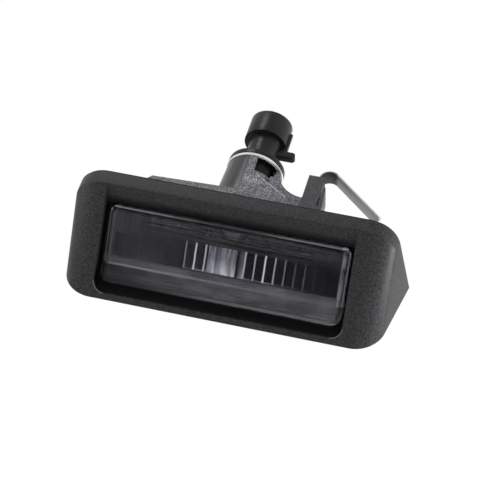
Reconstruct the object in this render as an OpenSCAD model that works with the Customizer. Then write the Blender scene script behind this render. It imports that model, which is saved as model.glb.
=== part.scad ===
// Number plate lamp of the snap-in kind: wedge housing, clear lens, carrier with tube, bulb holder and spring.
// X runs along the lamp, Y into the vehicle and Z up the tube. The origin is where the tube's axis crosses
// the upper seat plane. Millimetres.

/* [Housing] */
// Width of the housing at its rear edge
house_w = 117.6; // [112:0.1:126]
// Middle of the housing to the right of the tube's axis
house_shift = 0.9; // [0:0.1:1.5]
// Depth of the upper seat, front to back
house_d = 30.3; // [29:0.1:34]
// Height of the rear seat
house_h = 29.9; // [29:0.1:34]
// Height of the upright skirt above the slope
skirt_h = 5; // [4:0.1:6]
// Corner radius of the upper seat
top_corner_r = 10.5; // [9:0.5:13]
// Corner radius of the rear seat
rear_corner_r = 10.5; // [8:0.5:12]
// Narrowing of each side towards the front and the foot, per millimetre
side_taper = 0.175; // [0.12:0.005:0.2]
// Wall of the housing
wall = 2; // [1.6:0.1:2.4]
// Distance of the tube's axis from the front edge
axis_back = 15; // [14:0.1:16]

/* [Lens pocket] */
// Gap beside the lens in its pocket
pocket_side = 1.2; // [0.8:0.1:2]
// Wall round the pocket
pocket_wall = 1.8; // [1.4:0.1:2.2]
// Height of the lower lip, along the slope
lip_h = 2.1; // [1.6:0.1:2.8]
// Corner radius of the pocket
pocket_r = 4; // [2:0.5:5]
// Thickness of the rear wall under the lens
rear_wall = 1.6; // [1.2:0.1:1.8]

/* [Lens] */
// Width of the lens
lens_w = 83; // [80:0.1:83.4]
// Length of the main face down the slope
main_l = 20.1; // [18:0.1:20.4]
// Length of the lower face
lower_l = 6.65; // [5:0.05:6.8]
// Turn of the lower face away from the main face
lower_turn = 18.9; // [14:0.1:20]
// Depth of the lens flange under the slope
lens_sink = 4.35; // [4.2:0.05:4.8]
// Distance of the lens from the crease, down the slope
lens_start = 7.2; // [7:0.1:8]
// Height of the raised face above the flange
plateau_h = 2.2; // [1.8:0.1:2.6]
// Bevel round the raised face
plateau_bevel = 1.8; // [1.2:0.1:2]
// Width of the flange round the raised face
flange_w = 0.5; // [0.3:0.1:0.8]
// Thickness of the lens
lens_t = 1.4; // [1.2:0.1:1.6]
// Corner radius of the lens
lens_r = 3.5; // [2:0.5:5]
// Pitch of the upright flutes
flute_pitch = 3.4; // [3:0.1:4]
// Depth of the flutes
flute_depth = 0.45; // [0.3:0.05:0.5]
// Length of the upright flutes
flute_l = 9.2; // [7:0.1:10]
// Distance of the upright flutes from the ridge of the lens
flute_foot = 3.2; // [2:0.1:4]

/* [Seals] */
// Thickness of the seal under the lens
lens_seal_t = 0.6; // [0.4:0.1:0.8]
// Width of the seal under the lens
lens_seal_w = 2; // [1.6:0.1:2.4]
// Thickness of the seat gasket
gasket_t = 0.8; // [0.5:0.1:1.5]
// Width of the seat gasket
gasket_w = 2.6; // [2:0.1:3]
// Distance of the gasket from the housing's edge
gasket_inset = 0.5; // [0.3:0.1:0.8]

/* [Carrier] */
// Thickness of the carrier's plates
plate_t = 1.8; // [1.4:0.1:2.2]
// Left end of the boss from the axis
boss_left = 31.8; // [28:0.1:33]
// Depth of the boss, front to back
boss_d = 20; // [19:0.5:22]
// Height of the boss above the seat, at its left end
boss_h = 6.2; // [5:0.1:7]
// Rise of the boss's top from its left end to the tube's axis
boss_rise = 1.2; // [0:0.1:2]
// Outer radius of the tube at its top
tube_r = 9.6; // [9.4:0.1:9.8]
// Widening of the tube at its foot
tube_flare = 0.9; // [0:0.1:1.2]
// Height of the tube above the seat
tube_h = 23.6; // [22:0.1:26]
// Radius of the tube's bore
bore_r = 8.4; // [8.3:0.05:8.6]
// Height of the inner ledge that locks the holder
ledge_h = 2; // [1.6:0.1:2.6]
// Width of the two entry notches
notch_w = 8.2; // [7.8:0.1:9]
// Height of the entry notches
notch_h = 6.6; // [5:0.1:8]
// Direction of the first notch, from +X
notch_dir = -55; // [-60:1:-35]
// Length of the hook on the left end
hook_l = 4.5; // [3:0.1:6]
// Thickness of the hook
hook_t = 2.6; // [2:0.1:3]

/* [Post and spring clip] */
// Left face of the post from the axis
post_x = 20; // [19:0.1:22]
// Thickness of the post
post_t = 5.4; // [4:0.1:6]
// Width of the post, front to back
post_w = 9.2; // [8.8:0.1:11]
// Front face of the post from the axis
post_front = 8; // [7.5:0.1:9]
// Top of the post above the seat
post_h = 20.9; // [19:0.1:23]
// Height of the web at the post
web_h = 10.4; // [9:0.1:12]
// Radius of the web's hollow curve
web_r = 10; // [8:0.5:12]
// Width of the web, front to back
web_w = 7; // [5:0.5:9]
// Height of the guard beside the post
guard_h = 16.5; // [12:0.1:18]
// Height of the gusset on the tube's front
gusset_h = 16; // [12:0.1:17]
// Middle of the spring's inner leg from the post's left face
spring_in = 3.5; // [2.5:0.1:4]
// Width of the spring's strip
spring_w = 5.7; // [5:0.1:7]
// Thickness of the spring's strip
spring_t = 0.6; // [0.5:0.05:0.8]
// Radius of the spring's bend, to the middle of the strip
spring_bend_r = 3.4; // [2.5:0.1:4]
// Height of the bend's centre above the seat
spring_bend_h = 21.5; // [20.8:0.1:22]
// Slope of the spring's free leg
spring_slope = 40.5; // [36:0.5:42]
// Length of the spring's free leg
spring_leg = 23; // [18:0.1:24]

/* [Bulb holder] */
// Radius of the plug in the tube
plug_r = 7.1; // [6.9:0.05:7.2]
// Running clearance of the plug in the ledge
plug_gap = 0.1; // [0.06:0.01:0.1]
// Lower end of the plug above the seat
plug_foot = 8; // [7:0.1:9]
// Radius of the holder's flange
flange_r = 9.9; // [9.4:0.1:10.4]
// Thickness of the holder's flange
flange_t = 2; // [1.4:0.1:2.4]
// Thickness of the holder's seal
holder_seal_t = 1; // [0.8:0.1:1.4]
// Width of the holder's seal
holder_seal_w = 1.1; // [0.8:0.1:1.4]
// Radius of the neck
neck_r = 5.35; // [5:0.05:5.6]
// Height of the neck
neck_h = 11.4; // [10:0.1:13]
// Outer radius of the connector shroud
shroud_r = 7.4; // [7:0.1:7.6]
// Height of the connector shroud
shroud_h = 9.3; // [9:0.1:11]
// Wall of the connector shroud
shroud_wall = 1.1; // [0.9:0.05:1.3]
// Floor of the connector shroud
shroud_floor = 1.2; // [1:0.1:1.6]
// Width of each locking tab
tab_w = 7; // [6:0.1:7.4]
// Height of each locking tab
tab_h = 2.2; // [1.8:0.1:2.8]
// Turn that frees the holder
turn = 50; // [46:1:56]
// Reach of the lug from the axis
lug_reach = 11.6; // [10:0.1:12]

/* [Contacts and bulb] */
// Thickness of the contact strip
contact_t = 0.5; // [0.4:0.05:0.6]
// Width of the contact strip
contact_w = 4; // [3:0.1:4.6]
// Distance of each terminal from the axis
pin_x = 2.2; // [1.8:0.1:2.6]
// Width of each terminal
pin_w = 1.5; // [1.2:0.1:1.6]
// Thickness of each terminal
pin_t = 0.8; // [0.6:0.05:1]
// Length of each terminal above the shroud's floor
pin_l = 3.8; // [3:0.1:4]
// Radius of the bulb's globe
globe_r = 5; // [4.6:0.1:5.1]
// Wall of the bulb's glass
glass_t = 0.6; // [0.5:0.05:0.8]
// Length of the whole bulb
bulb_l = 26.5; // [25:0.1:27]
// Lowest point of the bulb below the seat
bulb_drop = 7.2; // [6:0.1:7.2]
// Length of the bulb's pinched base
pinch_l = 7.4; // [7:0.1:8]
// Width of the pinched base
pinch_w = 9.4; // [9:0.1:9.6]
// Thickness of the pinched base
pinch_t = 2.8; // [2.4:0.1:3]
// Radius of the lead wires
lead_r = 0.3; // [0.2:0.05:0.35]
// Distance of each lead from the axis inside the globe
lead_x = 2.4; // [2:0.1:3]
// Radius of the filament
filament_r = 0.25; // [0.15:0.05:0.3]

/* [Hidden] */
$fn = 96;

fit_gap = 0.2;
slot_gap = 0.1;
bulb_gap = 0.3;
rear_skin = 1.1;
lens_gap = 0.4;
touch = 0.01;
embed = 0.3;
past = 1;
least_r = 0.5;
boss_past_post = 2.4;
slot_wall = 1;
arc_steps = 14;

front_y = -axis_back;
rear_y = house_d - axis_back;
half_w = house_w / 2;
slope = atan2(house_d, house_h - skirt_h);
slope_l = norm([house_d, house_h - skirt_h]);
lower_slope = slope - lower_turn;

// Lens section in Y and Z: the flange's outer face, its inward normals, and its top, ridge and foot
main_dir = [sin(slope), -cos(slope)];
main_in = [cos(slope), sin(slope)];
lower_dir = [sin(lower_slope), -cos(lower_slope)];
lower_in = [cos(lower_slope), sin(lower_slope)];
lens_top = [front_y, -skirt_h] + main_dir * lens_start + main_in * lens_sink;
lens_ridge = lens_top + main_dir * main_l;
lens_foot = lens_ridge + lower_dir * lower_l;
lens_reach = main_l + lower_l * cos(lower_turn);
pocket_w = lens_w + 2 * pocket_side;

// Back of the ledge that carries the lens, and the foot of the carrier's rear plate just above it
block_back = lens_t + lens_seal_t + pocket_wall;
ledge_ridge = ridge_at(block_back);
ledge_foot = foot_at(block_back, 0);
plate_share = (rear_y - plate_t - fit_gap - ledge_ridge.x) / (ledge_foot.x - ledge_ridge.x);
rear_plate_h = -ledge_ridge.y - plate_share * (ledge_foot.y - ledge_ridge.y) - fit_gap;
plate_inset = wall + fit_gap + side_taper * plate_t;

deck_r = tube_r + tube_flare;
post_right = post_x + post_t;
boss_right = post_right + boss_past_post;
spring_x = post_x + spring_in;
spring_front = slot_wall - post_front;
ledge_z = tube_h - ledge_h;
flange_z = tube_h + holder_seal_t;
neck_z = flange_z + flange_t;
shroud_z = neck_z + neck_h;
holder_top = shroud_z + shroud_h;
pinch_top = bulb_l - bulb_drop;
pinch_foot = pinch_top - pinch_l;
globe_z = globe_r - bulb_drop;

// Right half of a seat outline, from its wide end round the corner, the narrow end lying on y = 0
function half_outline(depth, corner_r, inset, more) =
    let (
        lean = atan(side_taper),
        centre = [half_w - side_taper * (depth - corner_r) - corner_r / cos(lean), corner_r],
        sweep = 90 - lean
    )
    concat(
        more > 0 ? [[half_w - inset / cos(lean), depth + more]] : [],
        [[half_w - inset / cos(lean), depth]],
        [for (i = [0 : arc_steps])
            let (a = -lean - sweep * i / arc_steps)
            centre + (corner_r - inset) * [cos(a), sin(a)]]
    );

function both_sides(points) =
    concat(points, [for (i = [len(points) - 1 : -1 : 0]) [-points[i].x, points[i].y]]);

// Corner points of a layer of the lens section, set back from the flange's outer face
function ridge_at(back) = lens_ridge + back * (main_in + lower_in) / (1 + main_in * lower_in);
function top_at(back, extra) = lens_top + main_in * back - main_dir * extra;
function foot_at(back, extra) = lens_foot + lower_in * back + lower_dir * extra;
function layer(near, far, extra) =
    [top_at(near, extra), ridge_at(near), foot_at(near, extra),
        foot_at(far, extra), ridge_at(far), top_at(far, extra)];

// Outline of a strip of constant thickness along a path
function strip_side(path, t) =
    [for (i = [0 : len(path) - 1])
        let (
            a = path[max(i - 1, 0)],
            b = path[min(i + 1, len(path) - 1)],
            d = (b - a) / norm(b - a)
        )
        path[i] + t / 2 * [-d.y, d.x]];
function strip(path, t) =
    let (far_side = strip_side(path, -t))
    concat(strip_side(path, t), [for (i = [len(far_side) - 1 : -1 : 0]) far_side[i]]);

module along_x(width) {
    translate([-width / 2, 0, 0])
        rotate([90, 0, 90])
            linear_extrude(width) children();
}

module upper_outline(inset, more = 0) {
    translate([house_shift, front_y]) polygon(both_sides(half_outline(house_d, top_corner_r, inset, more)));
}

module rear_outline(inset, more = 0) {
    translate([house_shift, -house_h]) polygon(both_sides(half_outline(house_h, rear_corner_r, inset, more)));
}

// A slab with the rear outline, from its inner face towards the vehicle
module rear_slab(inner_y, t, inset, more = 0) {
    translate([0, inner_y + t, 0]) rotate([90, 0, 0]) linear_extrude(t) rear_outline(inset, more);
}

// Local frame on the slope: X along the lamp, Y up the slope from the crease, Z out of the slope
module on_slope() {
    translate([0, front_y, -skirt_h]) rotate([90 + slope, 0, 0]) children();
}

module rounded_slab(w, low, high, r, z, t) {
    translate([0, 0, z]) linear_extrude(t) hull()
        for (x = [-w / 2 + r, w / 2 - r], y = [low + r, high - r]) translate([x, y]) circle(r, $fn = 32);
}

module outer_form() {
    hull() {
        translate([0, 0, -touch]) linear_extrude(touch) upper_outline(0);
        skirt_corners(0, skirt_h);
        rear_slab(rear_y - touch, touch, 0);
    }
}

module skirt_corners(inset, h) {
    lean = atan(side_taper);
    x = half_w - side_taper * (house_d - top_corner_r) - top_corner_r / cos(lean);
    for (side = [-1, 1]) translate([house_shift + side * x, front_y + top_corner_r, -h])
        cylinder(r = top_corner_r - inset, h = h);
}

// The hollow of the housing, open above and behind
module inner_form() {
    slope_cut = wall * (1 - cos(slope)) / sin(slope);
    hull() {
        translate([0, 0, -touch]) linear_extrude(past) upper_outline(wall);
        skirt_corners(wall, skirt_h - slope_cut);
        translate([0, 0, wall / sin(slope) + touch]) rear_slab(rear_y, past, wall);
        rear_slab(rear_y - touch, past, wall / cos(slope));
    }
}

// Space in front of the lens
module pocket_space() {
    gap_back = lens_t + lens_seal_t;
    crease_land = 0.3;
    over_crease = 8;
    intersection() {
        along_x(pocket_w) polygon([[front_y - past, -skirt_h - crease_land], top_at(0, lens_gap),
            top_at(gap_back, lens_gap), ridge_at(gap_back), foot_at(gap_back, fit_gap), foot_at(0, fit_gap),
            [rear_y - rear_wall, lens_foot.y - fit_gap], [rear_y - rear_wall, -house_h - past],
            [front_y - past, -house_h - past]]);
        on_slope() rounded_slab(pocket_w, -slope_l + lip_h, over_crease, pocket_r, -house_d, house_d * 2);
    }
}

// Opening in the ledge and the seal behind the lens, which leaves the housing's rear skin whole
module lens_window(w, trim) {
    intersection() {
        translate([-w / 2, front_y, -house_h]) cube([w, house_d - rear_skin, house_h]);
        along_x(w) polygon(layer(-lens_sink, lens_sink * 2, -trim));
        on_slope()
            rounded_slab(w, -lens_start - lens_reach, -lens_start - trim, lens_r, -house_d, house_d * 2);
    }
}

module housing() {
    color("#2f3033") difference() {
        union() {
            difference() {
                outer_form();
                inner_form();
            }
            intersection() {
                outer_form();
                along_x(pocket_w + 2 * pocket_wall) polygon([[front_y, -skirt_h + pocket_wall],
                    top_at(block_back, pocket_wall), ledge_ridge, ledge_foot,
                    [rear_y, ledge_foot.y], [rear_y, -house_h], [front_y, -house_h]]);
            }
            intersection() {
                outer_form();
                translate([house_shift - half_w, rear_y - rear_wall, -house_h])
                    cube([house_w, rear_wall, house_h - rear_plate_h - fit_gap]);
            }
        }
        pocket_space();
        lens_window(lens_w - 2 * lens_seal_w, lens_seal_w);
        translate([0, 0, -house_h / 2]) cylinder(r = globe_r + bulb_gap, h = house_h / 2);
    }
}

module lens_footprint(inset, extra) {
    on_slope() rounded_slab(lens_w - 2 * inset, -lens_start - lens_reach + inset, -lens_start - inset,
        max(lens_r - inset, least_r), -lens_sink - extra, 2 * extra);
}

// Raised face with its bevelled sides
module raised_form(sink, back) {
    inset = flange_w + sink;
    intersection() {
        along_x(lens_w) polygon(layer(-plateau_h + sink, back, -inset));
        hull() {
            on_slope() rounded_slab(lens_w - 2 * inset, -lens_start - lens_reach + inset, -lens_start - inset,
                max(lens_r - inset, least_r), -lens_sink - lens_t * 3, lens_t * 3);
            on_slope() rounded_slab(lens_w - 2 * inset - 2 * plateau_bevel,
                -lens_start - lens_reach + inset + plateau_bevel, -lens_start - inset - plateau_bevel,
                2 * least_r, -lens_sink + plateau_h * 2, touch);
        }
    }
}

// Upright flutes across the middle of the main face, and level ones above them, on its inner side
module flutes() {
    land = 0.05;
    crest = 0.8;
    level_count = 3;
    shift = 0.9;
    count = floor((lens_w / 2 - flange_w - plateau_bevel - lens_t - flute_pitch) / flute_pitch);
    half_run = count * flute_pitch;
    low = lens_start + main_l - flute_l - flute_foot;
    high = lens_start + flange_w + plateau_bevel + lens_t;
    level_pitch = (low - high - flute_depth) / level_count;
    skin = -lens_sink + plateau_h - lens_t;
    on_slope() translate([shift - half_run, -low, skin]) rotate([90, 0, 0]) linear_extrude(flute_l)
        polygon(concat([[0, embed]], [for (i = [0 : 2 * count - 1]) each
            [[i * flute_pitch, -land], [(i + crest) * flute_pitch, -flute_depth]]],
            [[2 * half_run, -land], [2 * half_run, embed]]));
    on_slope() translate([-half_run, -high, skin]) rotate([90, 0, 90]) linear_extrude(2 * half_run)
        polygon(concat([[0, embed]], [for (i = [0 : level_count - 1]) each
            [[-i * level_pitch, -land], [-(i + 0.5) * level_pitch, -flute_depth]]],
            [[-level_count * level_pitch, -land], [-level_count * level_pitch, embed]]));
}

module lens() {
    color("#8d8f9a", 0.6) union() {
        difference() {
            union() {
                intersection() {
                    along_x(lens_w) polygon(layer(0, lens_t, 0));
                    lens_footprint(0, house_d);
                }
                raised_form(0, lens_t);
            }
            raised_form(lens_t, lens_t + past);
        }
        flutes();
    }
}

module lens_seal() {
    color("#1c1c1e") difference() {
        intersection() {
            along_x(lens_w) polygon(layer(lens_t, lens_t + lens_seal_t, 0));
            lens_footprint(0, house_d);
        }
        lens_window(lens_w - 2 * lens_seal_w, lens_seal_w);
    }
}

// A loop of foam round the upper seat, folded over the sharp edge and on round the rear seat
module seat_gasket() {
    inner = gasket_inset + gasket_w;
    color("#18181a") union() {
        linear_extrude(gasket_t) difference() {
            upper_outline(gasket_inset, gasket_t);
            upper_outline(inner, gasket_t + past);
        }
        translate([0, rear_y + gasket_t, 0]) rotate([90, 0, 0]) linear_extrude(gasket_t) difference() {
            rear_outline(gasket_inset, gasket_t);
            rear_outline(inner, gasket_t + past);
        }
    }
}

module boss() {
    hollow = boss_h - plate_t;
    nose = 1.2;
    difference() {
        translate([0, boss_d / 2, 0]) rotate([90, 0, 0]) linear_extrude(boss_d)
            polygon([[-boss_left, -touch], [-boss_left, boss_h - nose], [-boss_left + nose, boss_h],
                [0, boss_h + boss_rise], [0, boss_h], [boss_right, boss_h], [boss_right, -touch]]);
        translate([-boss_left + plate_t, -boss_d / 2 + plate_t, -plate_t - past])
            cube([boss_left + boss_right - 2 * plate_t, boss_d - 2 * plate_t, hollow + plate_t + past]);
    }
}

module web() {
    in_tube = 3;
    in_post = 0.2;
    sweep = 76;
    foot = deck_r - in_tube;
    centre = [post_x + in_post, web_h + web_r];
    curve = [for (i = [0 : arc_steps])
        let (a = 270 - sweep * i / arc_steps) centre + web_r * [cos(a), sin(a)]];
    translate([0, -post_front + web_w, 0]) rotate([90, 0, 0]) linear_extrude(web_w)
        polygon(concat([[foot, boss_h - touch], [post_x + touch, boss_h - touch]], curve,
            [[foot, curve[arc_steps].y]]));
}

// Thin plate flush with the boss's front, from the tube's front down to the post
module gusset() {
    t = boss_d / 2 - post_front + touch;
    left = -0.5;
    top_right = 2.6;
    drop = 1.6;
    short_of_post = 4.8;
    run = post_x - short_of_post;
    translate([0, -boss_d / 2 + fit_gap + t, 0]) rotate([90, 0, 0]) linear_extrude(t)
        polygon([[left, boss_h - touch], [run, boss_h - touch], [run, boss_h + drop], [top_right, gusset_h],
            [left, gusset_h - drop]]);
}

// Post with the slot that holds the spring's inner leg, and a thin guard beside it
module post() {
    gap = 0.6;
    rib_t = 0.7;
    slot_floor = 0.3;
    foot_t = boss_right - post_right - gap - fit_gap;
    translate([post_x, -post_front, boss_h - touch]) difference() {
        cube([post_t, post_w, post_h - boss_h + touch]);
        translate([spring_in - spring_t / 2 - slot_gap, slot_wall - slot_gap, slot_floor])
            cube([spring_t + 2 * slot_gap, spring_w + 2 * slot_gap, post_h]);
    }
    translate([post_right + gap, -post_front + post_w, boss_h - touch])
        rotate([90, 0, 0]) linear_extrude(post_w)
            polygon([[0, 0], [foot_t, 0], [rib_t, guard_h - boss_h], [0, guard_h - boss_h]]);
}

module hook() {
    translate([-boss_left - hook_l, -boss_d / 4, boss_h - hook_t]) cube([hook_l + touch, boss_d / 2, hook_t]);
}

module plates() {
    difference() {
        union() {
            translate([0, 0, -plate_t]) linear_extrude(plate_t) upper_outline(plate_inset);
            intersection() {
                rear_slab(rear_y - plate_t, plate_t, plate_inset + fit_gap);
                translate([house_shift - half_w, rear_y - plate_t - past, -rear_plate_h])
                    cube([house_w, plate_t + 2 * past, rear_plate_h]);
            }
        }
        translate([-boss_left + plate_t, -boss_d / 2 + plate_t, -plate_t - past])
            cube([boss_left + boss_right - 2 * plate_t, boss_d - 2 * plate_t, plate_t + 2 * past]);
    }
}

module tube_solid() {
    foot = boss_h - plate_t;
    translate([0, 0, foot]) cylinder(r1 = deck_r, r2 = tube_r, h = tube_h - foot);
}

module carrier() {
    color("#5f6064") difference() {
        union() {
            plates();
            boss();
            tube_solid();
            web();
            gusset();
            post();
            hook();
        }
        translate([0, 0, -past]) cylinder(r = bore_r, h = ledge_z + past);
        cylinder(r = plug_r + plug_gap, h = tube_h + past);
        for (turned = [0, 180]) rotate([0, 0, notch_dir + turned])
            translate([0, -notch_w / 2, tube_h - notch_h]) cube([deck_r + past, notch_w, notch_h + past]);
    }
}

module spring_clip() {
    foot_gap = 0.5;
    foot_z = boss_h + foot_gap;
    bend = [spring_x + spring_bend_r, spring_bend_h];
    over = 90 + spring_slope;
    arc = [for (i = [0 : arc_steps])
        let (a = 180 - over * i / arc_steps) bend + spring_bend_r * [cos(a), sin(a)]];
    leg_end = arc[arc_steps] + spring_leg * [cos(spring_slope), -sin(spring_slope)];
    curl_r = 1.6;
    curl_turn = 75;
    tip_l = 1.2;
    curl_c = leg_end - curl_r * [sin(spring_slope), cos(spring_slope)];
    curl = [for (i = [1 : arc_steps])
        let (a = 90 - spring_slope - curl_turn * i / arc_steps) curl_c + curl_r * [cos(a), sin(a)]];
    tip_a = spring_slope + curl_turn - 90;
    tip = curl[arc_steps - 1] - tip_l * [sin(tip_a), cos(tip_a)];
    path = concat([[spring_x, foot_z]], arc, [leg_end], curl, [tip]);
    color("#8e9092") translate([0, spring_front + spring_w, 0]) rotate([90, 0, 0])
        linear_extrude(spring_w) polygon(strip(path, spring_t));
}

// Strip and terminal of one contact, side = -1 in front of the bulb's base and 1 behind it
module contact(side) {
    face_y = pinch_t / 2 + 2 * lead_r;
    x = side * pin_x;
    shelf_z = pinch_top + 1;
    pin_top = shroud_z + shroud_floor + pin_l;
    strip_foot = pinch_foot + bulb_gap;
    translate([x - contact_w / 2, side > 0 ? face_y : -face_y - contact_t, strip_foot])
        cube([contact_w, contact_t, shelf_z - strip_foot + touch]);
    translate([x - pin_w / 2, side > 0 ? -pin_t / 2 : -face_y - contact_t, shelf_z])
        cube([pin_w, face_y + contact_t + pin_t / 2, contact_t]);
    translate([x - pin_w / 2, -pin_t / 2, shelf_z + contact_t - touch])
        cube([pin_w, pin_t, pin_top - shelf_z - contact_t]);
}

module contact_front() {
    color("#b08d4a") contact(-1);
}

module contact_rear() {
    color("#b08d4a") contact(1);
}

// Cavity for the bulb's base and the contact strips
module holder_socket() {
    side_gap = 0.4;
    w = pinch_w + 2 * side_gap;
    d = pinch_t + 4 * lead_r + 2 * contact_t;
    translate([-w / 2, -d / 2, plug_foot - past]) cube([w, d, pinch_top + 1 - plug_foot + past]);
    translate([0, 0, plug_foot - past]) cylinder(r = globe_r + bulb_gap, h = pinch_foot - plug_foot + past);
}

module holder_body() {
    tab_reach = bore_r - slot_gap;
    fin_t = 1.3;
    fin_h = 10.2;
    fin_past = 0.9;
    lug_t = 2.6;
    lug_h = 2.4;
    lug_drop = 2.6;
    lug_z = shroud_z - lug_h - lug_drop;
    color("#1d1e20") difference() {
        union() {
            translate([0, 0, plug_foot]) cylinder(r = plug_r, h = flange_z - plug_foot + touch);
            translate([0, 0, tube_h + fit_gap])
                cylinder(r = flange_r - holder_seal_w - slot_gap, h = holder_seal_t);
            translate([0, 0, flange_z]) cylinder(r = flange_r, h = flange_t);
            translate([0, 0, neck_z - touch]) cylinder(r = neck_r, h = neck_h + 2 * touch);
            translate([0, 0, shroud_z]) cylinder(r = shroud_r, h = shroud_h);
            intersection() {
                translate([0, 0, ledge_z - slot_gap - tab_h]) cylinder(r = tab_reach, h = tab_h);
                rotate([0, 0, notch_dir - turn]) translate([-tab_reach, -tab_w / 2, 0])
                    cube([2 * tab_reach, tab_w, tube_h]);
            }
            translate([neck_r - past, -fin_t / 2, lug_z + lug_h / 2])
                cube([shroud_r + fin_past - neck_r + past, fin_t, fin_h]);
            translate([neck_r - past, -lug_t / 2, lug_z])
                cube([lug_reach - neck_r + past - lug_h / 2, lug_t, lug_h]);
            translate([lug_reach - lug_h / 2, lug_t / 2, lug_z + lug_h / 2]) rotate([90, 0, 0])
                cylinder(r = lug_h / 2, h = lug_t, $fn = 32);
        }
        translate([0, 0, shroud_z + shroud_floor]) cylinder(r = shroud_r - shroud_wall, h = shroud_h);
        holder_socket();
        contact(-1);
        contact(1);
    }
}

module holder_seal() {
    color("#d9d8cd") translate([0, 0, tube_h]) difference() {
        cylinder(r = flange_r, h = holder_seal_t);
        translate([0, 0, -past]) cylinder(r = flange_r - holder_seal_w, h = holder_seal_t + 2 * past);
    }
}

module globe(r, low_cut) {
    rotate_extrude() union() {
        intersection() {
            translate([0, globe_z]) circle(r);
            translate([0, globe_z - r - past]) square([r + past, r + past]);
        }
        translate([0, globe_z - touch]) square([r, pinch_foot - globe_z - low_cut + touch]);
    }
}

module lead(side) {
    face_y = side * (pinch_t / 2 + lead_r);
    x = side * lead_x;
    over_z = pinch_top + lead_r;
    run = abs(face_y);
    union() {
        translate([x, face_y, pinch_foot + 1]) cylinder(r = lead_r, h = over_z - pinch_foot - 1, $fn = 24);
        translate([x, side > 0 ? 0 : -run, over_z]) rotate([-90, 0, 0])
            cylinder(r = lead_r, h = run, $fn = 24);
        for (y = [0, face_y]) translate([x, y, over_z]) sphere(r = lead_r, $fn = 24);
        translate([x, 0, globe_z]) cylinder(r = lead_r, h = over_z - globe_z, $fn = 24);
    }
}

module lead_left() {
    color("#a8a9ab") lead(-1);
}

module lead_right() {
    color("#a8a9ab") lead(1);
}

module filament() {
    color("#6a6a6c") translate([-lead_x + lead_r, 0, globe_z + filament_r]) rotate([0, 90, 0])
        cylinder(r = filament_r, h = 2 * (lead_x - lead_r), $fn = 24);
}

module bulb_glass() {
    color("#e8ecee", 0.4) difference() {
        union() {
            globe(globe_r, 0);
            translate([-pinch_w / 2, -pinch_t / 2, pinch_foot - touch])
                cube([pinch_w, pinch_t, pinch_l + touch]);
        }
        globe(globe_r - glass_t, 2 * glass_t);
        lead(-1);
        lead(1);
    }
}

housing();
lens();
lens_seal();
seat_gasket();
carrier();
spring_clip();
holder_body();
holder_seal();
contact_front();
contact_rear();
bulb_glass();
filament();
lead_left();
lead_right();
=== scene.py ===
"""Number plate lamp: finishes, fine forms, stage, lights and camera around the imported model."""
import math

import bpy
from bpy.props import FloatProperty, FloatVectorProperty, PointerProperty
from mathutils import Matrix, Vector

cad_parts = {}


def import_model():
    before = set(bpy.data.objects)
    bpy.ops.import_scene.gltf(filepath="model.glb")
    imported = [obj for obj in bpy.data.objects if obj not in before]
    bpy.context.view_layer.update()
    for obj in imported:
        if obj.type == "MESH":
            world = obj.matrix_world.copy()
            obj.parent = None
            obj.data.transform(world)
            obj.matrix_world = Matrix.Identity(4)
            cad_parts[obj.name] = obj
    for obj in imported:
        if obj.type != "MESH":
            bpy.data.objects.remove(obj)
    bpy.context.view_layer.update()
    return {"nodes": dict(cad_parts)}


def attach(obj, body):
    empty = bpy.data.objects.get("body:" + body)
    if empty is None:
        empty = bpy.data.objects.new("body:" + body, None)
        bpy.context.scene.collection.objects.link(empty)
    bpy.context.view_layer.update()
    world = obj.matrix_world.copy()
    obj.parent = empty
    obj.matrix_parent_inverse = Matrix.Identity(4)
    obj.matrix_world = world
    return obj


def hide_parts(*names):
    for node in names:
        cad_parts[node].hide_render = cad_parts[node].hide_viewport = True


bl_info = {
    "name": "Number plate lamp",
    "version": (1, 0, 0),
    "blender": (4, 5, 0),
    "location": "View3D > Sidebar > Plate Lamp",
    "description": "Dresses the packed number plate lamp and sets its stage, lights and camera",
    "category": "Object",
}

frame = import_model()

# Lengths are in metres, and the photo's size is in pixels
MM = 0.001
PHOTO_W = 478
PHOTO_H = 480

# Blur of most edges that materials draw
SOFT = 0.1 * MM

# Ways in the lamp's frame
ACROSS = (1, 0, 0)
INWARD = (0, 1, 0)
FORWARD = (0, -1, 0)
UPWARD = (0, 0, 1)

# The slope that the lens lies on, as in the part's source: its upper edge, and the ways down it and into it
SLOPE_START = (0, -15 * MM, -5 * MM)
SLOPE_DOWN = (0, 0.7725, -0.6350)
SLOPE_IN = (0, 0.6350, 0.7725)

# The lens and its flutes on that slope, as in the part's source. Each half is half a width
INNER_SKIN = 3.55 * MM
FLUTE_TOP = 14.9 * MM
FLUTE_FOOT = 24.1 * MM
FLUTE_PITCH = 3.4 * MM
FLUTE_PHASE = 0.9 * MM
LENS_HALF = 41.5 * MM
FACE_HALF = 39.2 * MM
LENS_TOP = 7.7 * MM
LENS_RIDGE = 27.2 * MM
LENS_FOOT = 33.4 * MM

# The steep side of a flute and its blur, as shares of a flute, and the step that varies their brightness
FLUTE_SIDE = (0.61, 0.77)
FLUTE_BLUR = 0.03
FLUTE_VARY = 0.74

# Along X: the bulb's bright patch, the dim strip right of it, the patch's split, and where no flute is drawn
PATCH = (-5.9 * MM, 3.8 * MM)
BESIDE = (4.3 * MM, 6.9 * MM)
PATCH_SPLIT = -3.0 * MM
NO_FLUTES = (-5.1 * MM, 4.8 * MM)

# How brightly marks in the lens show, from 0 to 1
CORNER_LIGHT = 0.65
FLUTE_FOOT_LIGHT = 0.45
OUTER_LIGHT = 0.42
WALL_LIGHT = 0.3
INNER_LIGHT = 0.09

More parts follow.
